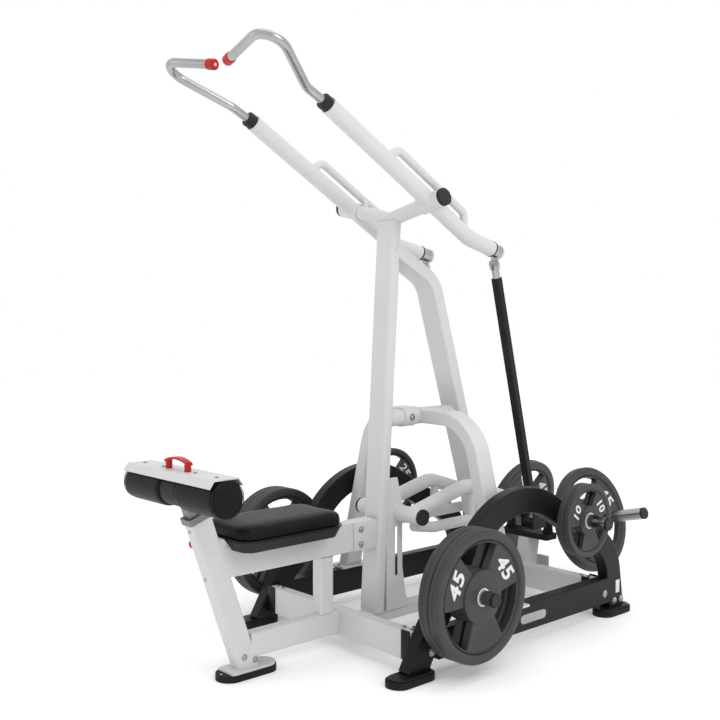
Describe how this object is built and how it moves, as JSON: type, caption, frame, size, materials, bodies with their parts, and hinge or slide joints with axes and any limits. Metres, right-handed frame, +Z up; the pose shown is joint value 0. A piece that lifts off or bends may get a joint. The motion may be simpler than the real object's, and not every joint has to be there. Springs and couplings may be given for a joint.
{
  "type": "lat pulldown machine",
  "caption": "Plate-loaded lat pulldown machine with independent swinging arms, seat, thigh rollers, storage horns and grip weight plates.",
  "frame": {"origin": "on the floor under the centre of the front post's foot", "axes": "+Z up, +Y to the machine's rear, +X to the machine's right"},
  "size_m": [1.27, 2.2469, 2.076],
  "materials": {
    "frame_white": "satin powder coat",
    "frame_black": "semi-gloss powder coat",
    "chrome": "polished",
    "zinc": "zinc plated",
    "black_plastic": "fine grain",
    "red_plastic": "smooth",
    "rubber": "matt",
    "stainless": "brushed",
    "upholstery": "fine grained vinyl",
    "plate_urethane": "matt urethane"
  },
  "bodies": {
    "frame": {"rubber_feet": "rubber", "foot_plate": "frame_white", "front_post": "frame_white", "post_collar": "black_plastic", "seat_beam": "frame_white", "seat_pan": "black_plastic", "seat_cushion": "upholstery", "base_tube_front": "frame_white", "seat_post": "frame_white", "cross_members": "frame_white", "base_tube_rear": "frame_white", "base_bolts": "zinc", "crossbar": "frame_white", "upright": "frame_white", "rear_leg": "frame_white", "brace_tube": "frame_white", "arch_brace": "frame_white", "pivot_plates": "frame_white", "pivot_shafts": "chrome", "stop_post": "frame_white", "stop_bracket": "frame_black", "stop_bumpers": "rubber", "side_arches": "frame_black", "side_beams": "frame_black", "storage_horns": "chrome", "horn_caps": "black_plastic"},
    "thigh_pad": {"thigh_post": "stainless", "roller_core": "black_plastic", "thigh_rollers": "upholstery", "thigh_cover": "frame_white", "thigh_handle": "red_plastic"},
    "pull_pin": {"pull_pin": "red_plastic"},
    "arm_right": {"upper_arm_right": "frame_white", "arm_caps_right": "black_plastic", "pull_handle_right": "stainless", "handle_cap_right": "red_plastic"},
    "swivel_right": {"swivel_right": "chrome"},
    "rod_right": {"rod_ends_right": "zinc", "connecting_rod_right": "frame_black"},
    "weight_arm_right": {"weight_arm_right": "frame_white", "weight_arm_caps_right": "black_plastic", "rod_bracket_right": "frame_black", "weight_horn_right": "chrome"},
    "work_plate_right": {"work_plate_right": "plate_urethane"},
    "front_plates_right": {"front_plates_right": "plate_urethane"},
    "rear_plates_right": {"rear_plates_right": "plate_urethane"},
    "arm_left": {"upper_arm_left": "frame_white", "arm_caps_left": "black_plastic", "pull_handle_left": "stainless", "handle_cap_left": "red_plastic"},
    "swivel_left": {"swivel_left": "chrome"},
    "rod_left": {"rod_ends_left": "zinc", "connecting_rod_left": "frame_black"},
    "weight_arm_left": {"weight_arm_left": "frame_white", "weight_arm_caps_left": "black_plastic", "rod_bracket_left": "frame_black", "weight_horn_left": "chrome"},
    "work_plate_left": {"work_plate_left": "plate_urethane"},
    "front_plates_left": {"front_plates_left": "plate_urethane"},
    "rear_plate_left": {"rear_plate_left": "plate_urethane"}
  },
  "joints": [
    {"name": "thigh_pad_height", "type": "slide", "parent": "frame", "child": "thigh_pad", "axis": [0, -0.3321, 0.9432], "range_m": [0, 0.1]},
    {"name": "pull_pin_slide", "type": "slide", "parent": "frame", "child": "pull_pin", "axis": [-1, 0, 0], "range_m": [0, 0.012], "stiffness_N_per_m": 1500, "springref_m": -0.008},
    {"name": "arm_right_swing", "type": "hinge", "parent": "frame", "child": "arm_right", "pos_m": [0.207, 0.752, 1.616], "axis": [0.9744, 0, 0.225], "range_deg": [0, 42]},
    {"name": "swivel_right_turn", "type": "hinge", "parent": "arm_right", "child": "swivel_right", "pos_m": [0.18784, 1.12941, 1.45969], "axis": [-0.1078, 0.9705, -0.2157], "range_deg": [-4, 0.5]},
    {"name": "rod_right_pivot", "type": "hinge", "parent": "swivel_right", "child": "rod_right", "pos_m": [0.186, 1.131, 1.408], "axis": [1, 0, 0], "range_deg": [-45.5, 0.5]},
    {"name": "weight_arm_right_swing", "type": "hinge", "parent": "frame", "child": "weight_arm_right", "pos_m": [0.107, 0.757, 0.463], "axis": [1, 0, 0], "range_deg": [0, 24]},
    {"name": "work_plate_right_slide", "type": "slide", "parent": "weight_arm_right", "child": "work_plate_right", "axis": [0.9704, -0.0338, 0.2391], "range_m": [0, 0.14]},
    {"name": "front_plates_right_slide", "type": "slide", "parent": "frame", "child": "front_plates_right", "axis": [1, 0, 0], "range_m": [0, 0.14]},
    {"name": "rear_plates_right_slide", "type": "slide", "parent": "frame", "child": "rear_plates_right", "axis": [1, 0, 0], "range_m": [0, 0.14]},
    {"name": "arm_left_swing", "type": "hinge", "parent": "frame", "child": "arm_left", "pos_m": [-0.207, 0.752, 1.616], "axis": [0.9744, 0, -0.225], "range_deg": [0, 42]},
    {"name": "swivel_left_turn", "type": "hinge", "parent": "arm_left", "child": "swivel_left", "pos_m": [-0.18784, 1.12941, 1.45969], "axis": [-0.1078, -0.9705, 0.2157], "range_deg": [-4, 0.5]},
    {"name": "rod_left_pivot", "type": "hinge", "parent": "swivel_left", "child": "rod_left", "pos_m": [-0.186, 1.131, 1.408], "axis": [1, 0, 0], "range_deg": [-45.5, 0.5]},
    {"name": "weight_arm_left_swing", "type": "hinge", "parent": "frame", "child": "weight_arm_left", "pos_m": [-0.107, 0.757, 0.463], "axis": [1, 0, 0], "range_deg": [0, 24]},
    {"name": "work_plate_left_slide", "type": "slide", "parent": "weight_arm_left", "child": "work_plate_left", "axis": [-0.9704, -0.0338, 0.2391], "range_m": [0, 0.14]},
    {"name": "front_plates_left_slide", "type": "slide", "parent": "frame", "child": "front_plates_left", "axis": [-1, 0, 0], "range_m": [0, 0.14]},
    {"name": "rear_plates_left_slide", "type": "slide", "parent": "frame", "child": "rear_plate_left", "axis": [-1, 0, 0], "range_m": [0, 0.14]}
  ],
  "couplings": [
    {"joint": "swivel_right_turn", "follows": "arm_right_swing", "ratio": -0.0736},
    {"joint": "rod_right_pivot", "follows": "arm_right_swing", "ratio": -1.0685},
    {"joint": "weight_arm_right_swing", "follows": "arm_right_swing", "ratio": 0.5658},
    {"joint": "swivel_left_turn", "follows": "arm_left_swing", "ratio": -0.0736},
    {"joint": "rod_left_pivot", "follows": "arm_left_swing", "ratio": -1.0685},
    {"joint": "weight_arm_left_swing", "follows": "arm_left_swing", "ratio": 0.5658}
  ]
}
